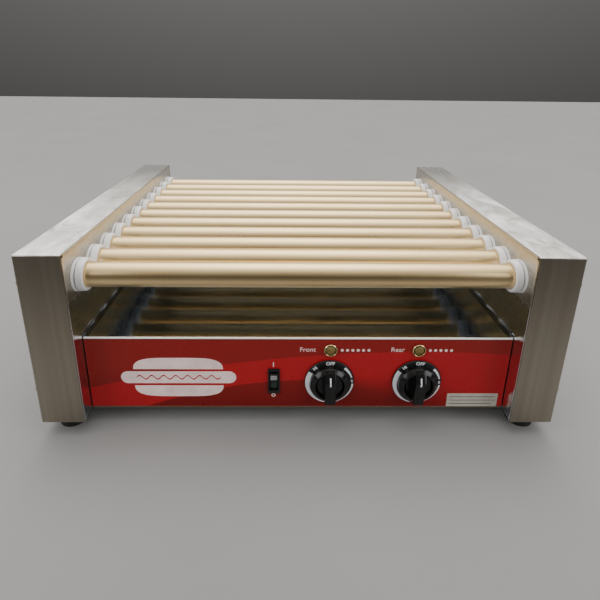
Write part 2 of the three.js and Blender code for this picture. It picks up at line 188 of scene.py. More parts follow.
# ---- Materials ----
def brushed_steel():
    """Sheet with its grain along the tower: up the front, back along the top. The tops carry cloudy
    polishing marks, a painted reflection that is pale at the front and dull at the back, and fine crossing
    scratches."""
    s = Shader("brushed stainless", (0.34, 0.315, 0.27), 0.34, 1.0)
    grain = s.blend(s.facing("X"), s.noise((2600, 9, 9), 3), s.noise((9, 2600, 9), 3, shift=(3, 1, 7)))
    streak = s.noise((150, 150, 1.5), 3)
    cloud = s.noise((34, 15, 26), 8, 0.66, 0.7)
    scratch = s.noise((260, 55, 120), 5, 0.7, 2.6)
    on_top = s.facing("Z")
    # cloudy polishing marks on the tops, which also carry the painted reflection
    wear_and_sheen = s.math("MULTIPLY", s.spread(cloud, 0.35, 1, 0.36, 0.62), on_top)
    plain = s.mix(s.spread(streak, 0, 1), rgba(0.27, 0.235, 0.185), rgba(0.32, 0.285, 0.23))
    # painted reflection: the tops are coloured pale at the front and duller towards the back
    far = s.spread(s.axis("Y"), 0, 1, -0.10, 0.17)
    s.color(s.mix(wear_and_sheen, plain, s.mix(far, rgba(0.97, 0.97, 0.96), rgba(0.33, 0.33, 0.32))))
    rough = s.spread(grain, 0.27, 0.38)
    s.roughness(s.math("ADD", rough, s.math("MULTIPLY", wear_and_sheen, s.blend(far, 0.26, -0.06))))
    s.bump(s.noise((7, 5, 6), 1), 0.0010, 0.3)
    s.bump(s.math("MULTIPLY", scratch, on_top), 0.0005, 0.6)
    return s.bump(grain, 0.00005, 0.6).material


def wall_steel():
    """The towers' inner walls: almost a mirror low down, and rubbed to a satin beside the rollers."""
    s = Shader("polished wall", (0.56, 0.55, 0.52), 0.08, 1.0)
    smear = s.noise((14, 30, 22), 5, 0.6, 1.2)
    ragged_height = s.math("ADD", s.axis("Z"), s.spread(smear, 0, 0.012))
    rubbed = s.spread(ragged_height, 0, 1, 0.158, 0.178)
    streak = s.noise((9, 90, 420), 4, 0.6, 0.8)
    satin = s.mix(s.spread(streak, 0, 1), rgba(0.46, 0.42, 0.35), rgba(0.66, 0.62, 0.55))
    mirror = s.mix(s.spread(streak, 0, 1), rgba(0.62, 0.64, 0.67), rgba(0.92, 0.94, 0.96))
    s.color(s.mix(rubbed, mirror, satin))
    s.roughness(s.blend(rubbed, s.spread(smear, 0.05, 0.11), s.spread(streak, 0.30, 0.42)))
    s.bump(s.noise((20, 12, 1500), 2), 0.0003, 0.6)
    return s.bump(s.noise((7, 10, 26), 1), 0.008, 0.4).material


def tray_steel():
    """The tray's dull mirror, with wiped smears and the faint ripple of thin sheet."""
    s = Shader("tray steel", (0.40, 0.42, 0.43), 0.08, 1.0)
    smear = s.noise((14, 22, 22), 5, 0.6, 1.2)
    s.color(s.mix(s.spread(smear, 0, 1), rgba(0.25, 0.285, 0.33), rgba(0.32, 0.365, 0.42)))
    s.roughness(s.spread(smear, 0.05, 0.12))
    s.bump(s.noise((700, 5, 5), 2), 0.00004, 0.5)
    return s.bump(s.noise((7, 9, 7), 1), 0.0007, 0.2).material


def satin_roller():
    """Warm satin tube, finely turned, with faint rings and a slight stain along its length."""
    s = Shader("satin roller", (0.80, 0.57, 0.30), 0.28, 1.0)
    rings = s.noise((2400, 4, 4), 2)
    stain = s.noise((11, 60, 60), 4, 0.6)
    s.color(s.mix(s.spread(stain, 0, 1), rgba(0.80, 0.59, 0.30), rgba(0.86, 0.65, 0.35)))
    s.roughness(s.math("ADD", s.spread(rings, 0.265, 0.29), s.spread(stain, 0, 0.03)))
    return s.bump(rings, 0.00001, 0.4).material


def white_bush():
    """Machined PTFE: white, waxy, with faint turning marks, and painted shade darkening the groove of each
    bush.
    """
    s = Shader("white bush", (0.90, 0.90, 0.89), 0.40)
    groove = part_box("right_bush_01")[1][0] - BUSH_TAIL - sum(BUSH_GROOVE) / 2
    from_groove = s.math("SUBTRACT", s.math("ABSOLUTE", s.axis("X")), groove)
    # painted shade: a dark band along the bottom of each bush's groove
    outside_groove_shade = s.spread(s.math("ABSOLUTE", from_groove), 0, 1, 0.45 * MM, 0.85 * MM)
    white = s.mix(s.spread(s.noise(90, 3), 0, 1), rgba(0.93, 0.93, 0.925), rgba(0.98, 0.98, 0.98))
    s.color(s.mix(outside_groove_shade, rgba(0.16, 0.15, 0.135), white))
    s.roughness(s.spread(s.noise(420, 3), 0.34, 0.5))
    return s.bump(s.noise((1900, 40, 40), 2), 0.00004, 0.5).material


def red_overlay(low, high):
    """Printed film: dark red with one brighter band that rises from the lower left and falls again,
    and a thin paler line along the foot. low and high are the overlay's corners, and the band's
    edges are curves over its length and height, both from 0 to 1."""
    s = Shader("red overlay", (0.14, 0.008, 0.005), 0.30, 0.0, Specular_IOR_Level=0.22)
    along = s.spread(s.axis("X"), 0, 1, low[0], high[0])
    height = s.spread(s.axis("Z"), 0, 1, low[2], high[2])
    top = s.math("ADD", 0.29, s.math("MULTIPLY", along, s.math("MULTIPLY_ADD", along, -0.87, 1.37)))
    from_middle = s.math("SUBTRACT", along, 0.53)
    foot = s.math("SUBTRACT", 0.41, s.math("MULTIPLY", 2.56, s.math("POWER", from_middle, 2)))
    crisp = 0.006
    soft = s.spread(along, crisp, 0.22, 0.52, 0.80)
    below_top = s.spread(s.math("SUBTRACT", top, height), 0, 1, -crisp, crisp)
    above_foot = s.spread(s.math("SUBTRACT", height, foot), 0, 1, s.math("MULTIPLY", soft, -1), soft)
    band = s.math("MULTIPLY", below_top, above_foot)
    ink = s.spread(s.noise(40, 3), 0.96, 1.03)
    glow = s.math("MULTIPLY", s.spread(s.math("ABSOLUTE", from_middle), 1.1, 0.8, 0.1, 0.5), ink)
    bright = s.mix(glow, rgba(0.26, 0.012, 0.012), rgba(0.50, 0.014, 0.020))
    dark = s.mix(s.spread(height, 0, 1, 0.05, 0.6), rgba(0.20, 0.009, 0.009), rgba(0.31, 0.017, 0.015))
    line = s.spread(height, 1, 0, 0.012, 0.016)
    s.color(s.mix(line, s.mix(band, dark, bright), rgba(0.24, 0.06, 0.04)))
    s.roughness(s.spread(s.noise(300, 4), 0.27, 0.31))
    return s.bump(s.noise(1500, 2), 0.00001, 0.35).material


def plastic(name, color, roughness, grain=0.00004, **uniform):
    """A moulded plastic with a fine eggshell grain and slight handling marks."""
    s = Shader(name, color, roughness, 0.0, **uniform)
    paler = tuple(c * 1.35 + 0.002 for c in color)
    s.color(s.mix(s.spread(s.noise(55, 4), 0, 1), rgba(*color), rgba(*paler)))
    s.roughness(s.spread(s.noise(160, 4), roughness * 0.85, roughness * 1.2))
    return s.bump(s.noise(1700, 2), grain, 0.5).material


def amber_lens():
    """A moulded lens with small facets inside, olive amber when unlit, over a dark middle."""
    s = Shader("amber lens", (0.20, 0.12, 0.012), 0.10, 0.0, Coat_Weight=0.8, Coat_Roughness=0.04)
    cells = s.node("ShaderNodeTexVoronoi", s.coordinates((520, 520, 520)))
    spark = s.spread(cells.outputs["Distance"], 0, 1, 0.15, 0.75)
    s.color(s.mix(spark, rgba(0.42, 0.29, 0.03), rgba(0.06, 0.042, 0.005)))
    return s.bump(cells.outputs["Distance"], 0.0005, 0.7).material


def lamp_rim():
    s = Shader("lamp rim", (0.62, 0.47, 0.22), 0.16, 1.0)
    s.color(s.mix(s.spread(s.noise(500, 3), 0, 1), rgba(0.74, 0.58, 0.28), rgba(0.86, 0.72, 0.42)))
    return s.roughness(s.spread(s.noise(300, 3), 0.10, 0.24)).material


def plain_steel(name, low, high, roughness):
    """Rolled or oiled steel for the inner pieces."""
    s = Shader(name, low, roughness, 1.0)
    s.color(s.mix(s.spread(s.noise(70, 5, 0.6), 0, 1), rgba(*low), rgba(*high)))
    s.roughness(s.spread(s.noise(230, 4), roughness * 0.8, roughness * 1.25))
    return s.bump(s.noise(900, 3), 0.00006, 0.5).material


def paper():
    s = Shader("label paper", (0.62, 0.58, 0.50), 0.6)
    s.color(s.mix(s.spread(s.noise(200, 4), 0, 1), rgba(0.56, 0.52, 0.44), rgba(0.66, 0.62, 0.54)))
    return s.bump(s.noise(2500, 3), 0.00003, 0.5).material


def floor_finish():
    """A pale floor with painted shade that darkens it towards the front."""
    s = Shader("floor", (0.40, 0.40, 0.40), 0.85, 0.0, Specular_IOR_Level=0.1)
    begins, ends = -0.27, -0.74
    # painted shade: the floor's colour falls from pale to dark towards the front
    painted_fade = s.node("ShaderNodeMapRange", s.axis("Y"), begins, ends, 0, 1, interpolation_type="SMOOTHSTEP")
    shade = s.mix(painted_fade.outputs[0], rgba(0.29, 0.29, 0.29), rgba(0.07, 0.07, 0.07))
    tone = s.node("ShaderNodeVectorMath", shade, operation="SCALE")
    s.put(s.spread(s.noise(3, 4), 0.97, 1.03), tone.inputs["Scale"])
    return s.color(tone.outputs[0]).material


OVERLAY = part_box("panel_overlay")
MATERIALS = {
    "brushed_stainless": brushed_steel(),
    "polished_stainless": wall_steel(),
    "satin_roller": satin_roller(),
    "white_bush": white_bush(),
    "red_overlay": red_overlay(*OVERLAY),
    "white_print": plastic("white print", (0.95, 0.74, 0.72), 0.5),
    "black_gloss": plastic("black gloss", (0.004, 0.004, 0.004), 0.16, 0.00002, Specular_IOR_Level=0.4),
    "black_plastic": plastic("black plastic", (0.009, 0.009, 0.0095), 0.36, Specular_IOR_Level=0.35),
    "amber_lens": amber_lens(),
    "lamp_rim": lamp_rim(),
    "control_body": plastic("control body", (0.45, 0.42, 0.36), 0.5),
    "rubber": plastic("rubber", (0.012, 0.012, 0.012), 0.72, 0.00012),
    "plain_steel": plain_steel("plain steel", (0.36, 0.36, 0.35), (0.48, 0.48, 0.46), 0.38),
    "dark_steel": plain_steel("dark steel", (0.30, 0.24, 0.17), (0.42, 0.34, 0.25), 0.40),
}
PAPER = paper()
TRAY = tray_steel()
# painted highlight: the hem's steel is coloured near white so its rolled edge reads as a bright line
HEM_HIGHLIGHT = plain_steel("rolled hem", (0.97, 0.95, 0.93), (1.0, 0.99, 0.97), 0.42)
KNOB_PRINT = plastic("knob print", (0.82, 0.85, 0.90), 0.45)
GREEN = plastic("green window", (0.010, 0.030, 0.016), 0.2)
GREY = plastic("grey window", (0.34, 0.35, 0.35), 0.3)
INK = plastic("grey ink", (0.16, 0.15, 0.14), 0.6)


# ---- Mesh helpers ----
def corners(points, steps=4):
    """A closed outline in which a point with a third value is rounded with that radius."""
    made = []
    for i, point in enumerate(points):
        here = Vector(point[:2])
        radius = point[2] if len(point) > 2 else 0
        if not radius:
            made.append(tuple(here))
            continue
        before = Vector(points[i - 1][:2]) - here
        after = Vector(points[(i + 1) % len(points)][:2]) - here
        angle = before.angle(after)
        reach = min(radius / math.tan(angle / 2), 0.49 * before.length, 0.49 * after.length)
        start = here + before.normalized() * reach
        end = here + after.normalized() * reach
        for k in range(steps + 1):
            t = k / steps
            made.append(tuple(start * (1 - t) ** 2 + here * (2 * t * (1 - t)) + end * t ** 2))
    return made


def circle(x, y, radius, steps=48):
    turn = 2 * math.pi / steps
    return [(x + radius * math.cos(k * turn), y + radius * math.sin(k * turn)) for k in range(steps)]


def rectangle(x0, x1, y0, y1, radius=0.0):
    return corners([(x0, y0, radius), (x1, y0, radius), (x1, y1, radius), (x0, y1, radius)])


def finished(bm, name, sharp=35):
    """The bmesh as a smooth-shaded mesh with its edges over an angle kept sharp."""
    bmesh.ops.remove_doubles(bm, verts=bm.verts, dist=1e-7)
    bmesh.ops.recalc_face_normals(bm, faces=bm.faces)
    mesh = bpy.data.meshes.new(name)
    bm.to_mesh(mesh)
    bm.free()
    mesh.shade_smooth()
    mesh.set_sharp_from_angle(angle=math.radians(sharp))
    return mesh


def lathe(profile, sides=64):
    """A bmesh turned round Z from (radius, height) points. The profile is closed, or ends on Z."""
    bm = bmesh.new()
    rings = []
    for radius, height in profile:
        if radius < 1e-9:
            rings.append([bm.verts.new((0, 0, height))])
            continue
        rings.append([bm.verts.new((x, y, height)) for x, y in circle(0, 0, radius, sides)])
    on_axis = len(rings[0]) == 1 or len(rings[-1]) == 1
    pairs = list(zip(rings, rings[1:])) if on_axis else list(zip(rings, rings[1:] + rings[:1]))
    for lower, upper in pairs:
        for k in range(sides):
            ring = [lower[k % len(lower)], lower[(k + 1) % len(lower)],
                    upper[(k + 1) % len(upper)], upper[k % len(upper)]]
            face = list(dict.fromkeys(ring))
            if len(face) > 2:
                bm.faces.new(face)
    return bm


def plate(outlines, thickness, edge=0.0):
    """A bmesh of a flat sheet in X and Y, from Z 0 up, with holes, and its edges rounded by edge."""
    curve = bpy.data.curves.new("outline", "CURVE")
    curve.dimensions = "2D"
    curve.fill_mode = "BOTH"
    curve.extrude = thickness / 2 - edge
    curve.bevel_depth = edge
    curve.bevel_resolution = 1
    curve.offset = -edge
    for outline in outlines:
        spline = curve.splines.new("POLY")
        spline.points.add(len(outline) - 1)
        spline.use_cyclic_u = True
        for point, (x, y) in zip(spline.points, outline):
            point.co = (x, y, 0, 1)
    return solid_of(curve, thickness / 2)


def lettering(words, size, thickness, weight=0.0):
    """A bmesh of thin letters, centred on the origin, from Z 0 up, with their strokes widened by weight."""
    text = bpy.data.curves.new("letters", "FONT")
    text.body = words
    text.size = size
    text.align_x = "CENTER"
    text.align_y = "CENTER"
    text.extrude = thickness / 2
    text.offset = weight
    text.resolution_u = 6
    return solid_of(text, thickness / 2)


def solid_of(curve, lift):
    """The bmesh of a filled curve, raised by lift."""
    holder = bpy.data.objects.new("holder", curve)
    bpy.context.scene.collection.objects.link(holder)
    shape = holder.evaluated_get(bpy.context.evaluated_depsgraph_get()).to_mesh()
    bm = bmesh.new()
    bm.from_mesh(shape)
    bpy.data.objects.remove(holder)
    bpy.data.curves.remove(curve)
    bmesh.ops.remove_doubles(bm, verts=bm.verts, dist=1e-6)
    bmesh.ops.translate(bm, verts=bm.verts, vec=(0, 0, lift))
    return bm


def box(low, high):
    """A bmesh box between two corners."""
    bm = bmesh.new()
    size = Vector(high) - Vector(low)
    middle = (Vector(high) + Vector(low)) / 2
    bmesh.ops.create_cube(bm, size=1, matrix=Matrix.Translation(middle) @ Matrix.Diagonal(size).to_4x4())
    return bm


def rounded_box(low, high, radius, segments=3):
    bm = box(low, high)
    bmesh.ops.bevel(bm, geom=bm.edges[:], offset=radius, segments=segments, profile=0.5,
                    affect="EDGES", clamp_overlap=True)
    return bm


def together(*parts):
    """One bmesh from several, which are used up."""
    whole = bmesh.new()
    for part in parts:
        mesh = bpy.data.meshes.new("part")
        part.to_mesh(mesh)
        part.free()
        whole.from_mesh(mesh)
        bpy.data.meshes.remove(mesh)
    return whole


def placed(bm, matrix):
    bmesh.ops.transform(bm, matrix=matrix, verts=bm.verts)
    return bm


def add(name, mesh, slot, body, *nodes, material=None):
    """A visible piece: its mesh, material and slot, the body it rides on and the nodes it stands for."""
    piece = bpy.data.objects.new(name, mesh)
    bpy.context.scene.collection.objects.link(piece)
    if not mesh.materials:
        mesh.materials.append(material or MATERIALS[slot])
    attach(piece, body)
    if nodes:
        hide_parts(*nodes)
    return piece


def middle_of(node):
    low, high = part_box(node)
    return (Vector(low) + Vector(high)) / 2


def in_scene(name, mesh):
    """An object that holds a mesh while modifiers are run on it."""
    holder = bpy.data.objects.new(name, mesh)
    bpy.context.scene.collection.objects.link(holder)
    return holder


def applied(holder):
    """The holder's mesh with its modifiers run. The holder is removed."""
    made = bpy.data.meshes.new_from_object(holder.evaluated_get(bpy.context.evaluated_depsgraph_get()))
    bpy.data.objects.remove(holder)
    return made


def sheet_metal(mesh, thickness, edge):
    """A folded surface with a thickness on its inner side and its cut edges rounded by edge."""
    holder = in_scene("sheet", mesh)
    solid = holder.modifiers.new("thickness", "SOLIDIFY")
    solid.thickness = thickness
    solid.offset = -1
    solid.use_even_offset = True
    bevel = holder.modifiers.new("edges", "BEVEL")
    bevel.width = edge
    bevel.segments = 2
    bevel.limit_method = "ANGLE"
    bevel.angle_limit = math.radians(50)
    made = applied(holder)
    made.materials.clear()
    made.shade_smooth()
    made.set_sharp_from_angle(angle=math.radians(35))
    for face in made.polygons:
        face.use_smooth = face.area < FLAT_FROM
    return made


UPRIGHT = Matrix(((0, 0, 1, 0), (1, 0, 0, 0), (0, 1, 0, 0), (0, 0, 0, 1)))  # X, Y, Z become Y, Z, X
TO_X = Matrix.Rotation(math.radians(90), 4, "Y")  # Z becomes X
TO_FRONT = Matrix.Rotation(math.radians(90), 4, "X")  # X, Y, Z become right, up and forwards
ON_PANEL = Matrix.Translation((0, OVERLAY[0][1], 0)) @ TO_FRONT


# ---- Rollers and bushes ----
def sprocket_outline():
    """Teeth with round seats for the chain's rollers, and blunt tips between them."""
    teeth = 10
    chain_pitch, seat_r, tip_r = 9.525 * MM, 2.6 * MM, 17.1 * MM
    pitch_r = chain_pitch / 2 / math.sin(math.pi / teeth)
    outline = []
    for tooth in range(teeth):
        at = math.radians(90 + 360 / teeth * tooth)
        seat = Vector((pitch_r * math.cos(at), pitch_r * math.sin(at)))
        for k in range(7):
            turn = at + math.pi + math.radians(60 - 20 * k)
            outline.append(tuple(seat + seat_r * Vector((math.cos(turn), math.sin(turn)))))
        for degrees in (14.5, 18, 21.5):
            tip = at + math.radians(degrees)
            outline.append((tip_r * math.cos(tip), tip_r * math.sin(tip)))
    return outline


def roller_mesh():
    """The tube, its pressed-in hub and its sprocket, along X with the axis on the origin."""
    low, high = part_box(ROLLERS[0])
    start, hub_end = low[0], high[0]
    tube_end = hub_end - 10 * MM
    plug = tube_end - 5 * MM
    disc_start = hub_end - 6.1 * MM
    bevel = 0.4 * MM
    inner, hub, bore = ROLLER_R - 1.15 * MM, 10.3 * MM, 6.5 * MM
    profile = corners([
        (inner, start, bevel), (ROLLER_R, start, bevel), (ROLLER_R, tube_end, bevel),
        (hub, tube_end, bevel), (hub, hub_end, bevel), (bore, hub_end), (bore, plug), (inner, plug)])
    tube = placed(lathe(profile, 72), TO_X)
    disc = plate([sprocket_outline(), circle(0, 0, hub - 0.2 * MM, 32)], 4.2 * MM, 0.3 * MM)
    placed(disc, Matrix.Translation((disc_start, 0, 0)) @ UPRIGHT)
    return finished(together(tube, disc), "roller", 40)


def bush_mesh(side):
    """A thin flange on the wall, a groove, then the collar that the roller comes out of. The profile's
    heights count from the wall's face."""
    low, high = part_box("right_bush_01")
    wall = high[0] - BUSH_TAIL
    length = wall - low[0]
    bore, tail, groove_r, flange = ROLLER_R + 0.12 * MM, 16.2 * MM, 16.0 * MM, 18.5 * MM
    groove_start, groove_end = BUSH_GROOVE
    profile = corners([
        (bore, -BUSH_TAIL), (tail, -BUSH_TAIL, 0.3 * MM), (tail, 0), (flange, 0),
        (flange, 2.0 * MM, 0.6 * MM), (groove_r, groove_start), (groove_r, groove_end),
        (18.2 * MM, 4.2 * MM, 0.4 * MM), (17.7 * MM, length, 1.3 * MM), (14.6 * MM, length, 0.3 * MM),
        (bore, length - 0.7 * MM)])
    bm = placed(lathe(profile, 72), TO_X)
    placed(bm, Matrix.Translation((-wall, 0, 0)))
    if side > 0:
        placed(bm, Matrix.Rotation(math.pi, 4, "Z"))
    return finished(bm, "bush", 30)


def add_rollers():
    roller = roller_mesh()
    bushes = {"left": bush_mesh(-1), "right": bush_mesh(1)}
    for name in ROLLERS:
        axis = middle_of(name)
        axis.x = 0
        copy = roller.copy()
        copy.transform(Matrix.Translation(axis))
        add("satin_" + name, copy, "satin_roller", name, name)
        for side, mesh in bushes.items():
            copy = mesh.copy()
            copy.transform(Matrix.Translation(axis))
            node = side + "_bush_" + name[-2:]
            add("turned_" + node, copy, "white_bush", "chassis", node)


# ---- Towers ----
def cover_mesh(name, side):
    """Front, top, back and outer side of a tower as one sheet with rounded folds."""
    low, high = (Vector(c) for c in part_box(name))
    if side > 0:
        high.x -= SCREW_HEAD
    else:
        low.x += SCREW_HEAD
    bm = box(low, high)
    open_faces = [f for f in bm.faces if f.normal.z < -0.5 or f.normal.x * side < -0.5]
    bmesh.ops.delete(bm, geom=open_faces, context="FACES")
    folds = [e for e in bm.edges if len(e.link_faces) == 2]
    bmesh.ops.bevel(bm, geom=folds, offset=1.9 * MM, segments=5, profile=0.5, affect="EDGES")
    return sheet_metal(finished(bm, name), SHEET, 0.32 * MM)


def lip_mesh(name, side):
    """The narrow flanges that the cover's top and front turn down over the inner wall's edges."""
    low, high = (Vector(c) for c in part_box(name))
    wall = low.x if side > 0 else high.x
    proud, sunk, width, radius = 0.6 * MM, 0.3 * MM, 3.4 * MM, 0.3 * MM
    left, right = sorted((wall - side * proud, wall + side * sunk))
    front, back = low.y + SHEET, high.y - SHEET
    foot, top = low.z + SHEET, high.z - SHEET
    along_top = rounded_box((left, front, top - width), (right, back, top), radius)
    up_front = rounded_box((left, front, foot), (right, front + width, top), radius)
    return finished(together(along_top, up_front), "lip")


def screw_mesh():
    """A pan head with a cross recess, its seat on the origin and its top along Z."""
    head = lathe(corners([
        (0, 0), (4.4 * MM, 0), (4.4 * MM, 1.3 * MM, 0.9 * MM), (2.6 * MM, 2.5 * MM, 2 * MM),
        (0, SCREW_HEAD)]), 40)
    reach, half = 2.4 * MM, 0.45 * MM
    slots = together(
        rounded_box((-reach, -half, 1.1 * MM), (reach, half, 3 * MM), 0.1 * MM, 1),
        rounded_box((-half, -reach, 1.2 * MM), (half, reach, 3.1 * MM), 0.1 * MM, 1))
    body = in_scene("head", finished(head, "screw", 40))
    cutter = in_scene("cutter", finished(slots, "slots"))
    recess = body.modifiers.new("recess", "BOOLEAN")
    recess.object = cutter
    recess.use_self = True
    made = applied(body)
    bpy.data.objects.remove(cutter)
    made.set_sharp_from_angle(angle=math.radians(40))
    return made


def add_screws(name, side):
    """Two screws at the front of the cover and two at the back, each stopped at its own angle."""
    screw = screw_mesh()
    low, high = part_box(name)
    inset = 6.5 * MM
    face = (high[0] if side > 0 else low[0]) - side * SCREW_HEAD
    outwards = Matrix.Rotation(side * math.radians(90), 4, "Y")
    for end, y, end_turn in (("front", low[1] + inset, 0), ("rear", high[1] - inset, 37)):
        for level, z, level_turn in (("low", 60 * MM, 0), ("high", 190 * MM, 23)):
            copy = screw.copy()
            turn = Matrix.Rotation(math.radians(end_turn + level_turn + 11 * side), 4, "Z")
            copy.transform(Matrix.Translation((face, y, z)) @ outwards @ turn)
            tower = name.split("_")[0]
            add(f"{tower}_{end}_{level}_screw", copy, "plain_steel", "chassis")


def add_towers():
    for name, side in (("left_side_cover", -1), ("right_side_cover", 1)):
        add("folded_" + name, cover_mesh(name, side), "brushed_stainless", "chassis", name)
        add(name + "_lip", lip_mesh(name, side), "polished_stainless", "chassis")
        add_screws(name, side)


# ---- Tray ----
def tray_mesh():
    """A sheet with a low front edge under the hem, low rims at the sides and a higher one at the back."""
    low, high = (Vector(c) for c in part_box("drip_tray"))
    under_hem, ramp = 1 * MM, 7 * MM
    front_rim, side_rim, back_rim = 1.2 * MM, 4.5 * MM, 8 * MM
    stations = [(low.y + under_hem, front_rim), (low.y + ramp, side_rim),
                (high.y - ramp, side_rim), (high.y, back_rim)]
    bm = bmesh.new()
    rows = []
    for y, rim in stations:
        top = low.z + rim
        rows.append([bm.verts.new(p) for p in (
            (low.x, y, top), (low.x, y, low.z), (high.x, y, low.z), (high.x, y, top))])
    for near, far in zip(rows, rows[1:]):
        for k in range(3):
            bm.faces.new((near[k], near[k + 1], far[k + 1], far[k]))
    bm.faces.new(rows[0])
    bm.faces.new(reversed(rows[-1]))
    bmesh.ops.recalc_face_normals(bm, faces=bm.faces)
    if max(bm.faces, key=lambda f: f.calc_area()).normal.z > 0:
        bmesh.ops.reverse_faces(bm, faces=bm.faces)
    folds = [e for e in bm.edges if len(e.link_faces) == 2 and e.calc_face_angle(0) > 1]
    bmesh.ops.bevel(bm, geom=folds, offset=1.1 * MM, segments=4, profile=0.5, affect="EDGES")
    mesh = bpy.data.meshes.new("tray")
    bm.to_mesh(mesh)
    bm.free()
    return sheet_metal(mesh, 0.9 * MM, 0.3 * MM)


def hem_mesh():
    """The rolled front edge of the tray, along X: a round nose that falls back to the sheet."""
    low, high = (Vector(c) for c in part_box("drip_tray"))
    nose, crest = low.z + 0.6 * MM, low.z + 1.8 * MM
    side = corners([
        (low.y, low.z), (low.y, nose, 0.4 * MM), (low.y + 1.3 * MM, crest, 0.7 * MM),
        (low.y + 2.3 * MM, crest, 0.6 * MM), (low.y + 2.7 * MM, low.z)], 6)
    bm = plate([side], high.x - low.x)
    placed(bm, Matrix.Translation((0, 0, low.x)))
    return finished(placed(bm, UPRIGHT), "hem", 50)


def add_tray():
    add("pressed_tray", tray_mesh(), "polished_stainless", "drip_tray", "drip_tray", material=TRAY)
    add("tray_hem", hem_mesh(), "polished_stainless", "drip_tray", material=HEM_HIGHLIGHT)


# ---- Control panel ----
FILM_INK = 0.08 * MM
FILM_LIFT = 0.02 * MM  # between the film and the back of the ink


def on_panel(bm, x=0.0, z=0.0, out=0.0, turn=0.0):
    """Stands a shape drawn in X and Y on the panel's face, out towards the front."""
    spin = Matrix.Rotation(math.radians(turn), 4, "Z")
    return placed(bm, ON_PANEL @ Matrix.Translation((x, z, out)) @ spin)


def add_overlay():
    """The film, with holes for the knobs' shafts, the lamps and the switch."""
    low, high = OVERLAY
    thickness = high[1] - low[1]
    outlines = [rectangle(low[0], high[0], low[2], high[2], 1 * MM)]
    for kind, radius in (("knob", 6 * MM), ("pilot_lamp", 6.6 * MM)):
        for zone in ("front", "rear"):
            spot = middle_of(f"{zone}_{kind}")
            outlines.append(circle(spot.x, spot.z, radius))
    switch = middle_of("power_switch_body")
    half_x, half_z = 6.2 * MM, 14.4 * MM
    outlines.append(rectangle(switch.x - half_x, switch.x + half_x, switch.z - half_z, switch.z + half_z))
    film = plate(outlines, thickness, 0.1 * MM)
    on_panel(film, out=-thickness)
    add("printed_overlay", finished(film, "overlay", 20), "red_overlay", "chassis", "panel_overlay")


def sausage(reach, radius, steps=8):
    """A long outline along X, with its round ends centred at -reach and reach."""
    outline = []
    for middle, start in ((-reach, 90), (reach, 270)):
        for k in range(steps + 1):
            turn = math.radians(start + 180 * k / steps)
            outline.append((middle + radius * math.cos(turn), radius * math.sin(turn)))
    return outline


def wavy_ribbon():
    """A wavy line with a width, along the sausage."""
    length, height, half_width, bends, steps = 96 * MM, 2.6 * MM, 0.9 * MM, 14, 48
    wave = []
    for k in range(steps + 1):
        t = k / steps
        wave.append(((t - 0.5) * length, height * math.sin(t * bends * math.pi)))
    return [(x, y + half_width) for x, y in wave] + [(x, y - half_width) for x, y in reversed(wave)]


def bun(shift):
    """Half of a bun: flat towards the sausage, and a long low dome on the other side."""
    side = math.copysign(1, shift)
    reach, depth, steps = 51 * MM, 15 * MM, 32
    blunt, full = 0.45, 0.8  # powers that square off a half ellipse
    dome = []
    for k in range(steps + 1):
        turn = math.pi * k / steps
        x = reach * math.copysign(abs(math.cos(turn)) ** blunt, math.cos(turn))
        dome.append((x, shift + side * depth * math.sin(turn) ** full))
    return dome if side > 0 else list(reversed(dome))


def add_pictogram():
    """A plain white hot dog: half a bun above and below a longer sausage with a wavy line on it."""
    x, z = -0.138, 0.062
    gap = 11 * MM
    shapes = {
        "sausage": [sausage(58 * MM, 8 * MM), wavy_ribbon()],
        "upper_bun": [bun(gap)],
        "lower_bun": [bun(-gap)],
    }
    for name, outlines in shapes.items():
        bm = on_panel(plate(outlines, FILM_INK), x, z, FILM_LIFT)
        add("pictogram_" + name, finished(bm, name), "white_print", "chassis")


def add_words_and_dots():
    """Beside each lamp its zone's name, and a dot for each roller that the zone heats."""
    first, step, drop = 13 * MM, 6.05 * MM, 0.6 * MM
    for zone, words, back, count in (("front", "Front", 26 * MM, 6), ("rear", "Rear", 24 * MM, 5)):
        lamp = middle_of(zone + "_pilot_lamp")
        word = on_panel(lettering(words, 8.2 * MM, FILM_INK), lamp.x - back, lamp.z, FILM_LIFT)
        add(zone + "_word", finished(word, zone), "white_print", "chassis")
        dots = [plate([circle(0, 0, 1.75 * MM, 24)], FILM_INK) for _ in range(count)]
        for k, dot in enumerate(dots):
            on_panel(dot, lamp.x + first + step * k, lamp.z - drop, FILM_LIFT)
        add(zone + "_dots", finished(together(*dots), zone), "white_print", "chassis")


def add_switch_marks():
    """A stroke for on above the switch, and a ring for off below it."""
    switch = middle_of("power_switch_body")
    x = switch.x - 0.5 * MM
    stroke = plate([rectangle(-0.5 * MM, 0.5 * MM, -3.2 * MM, 3.2 * MM)], FILM_INK)
    ring = plate([circle(0, 0, 2.3 * MM, 32), circle(0, 0, 1.45 * MM, 32)], FILM_INK)
    for name, mark, z in (("on", stroke, switch.z + 21.5 * MM), ("off", ring, switch.z - 20.2 * MM)):
        on_panel(mark, x, z, FILM_LIFT)
        add(f"switch_{name}_mark", finished(mark, name), "white_print", "chassis")


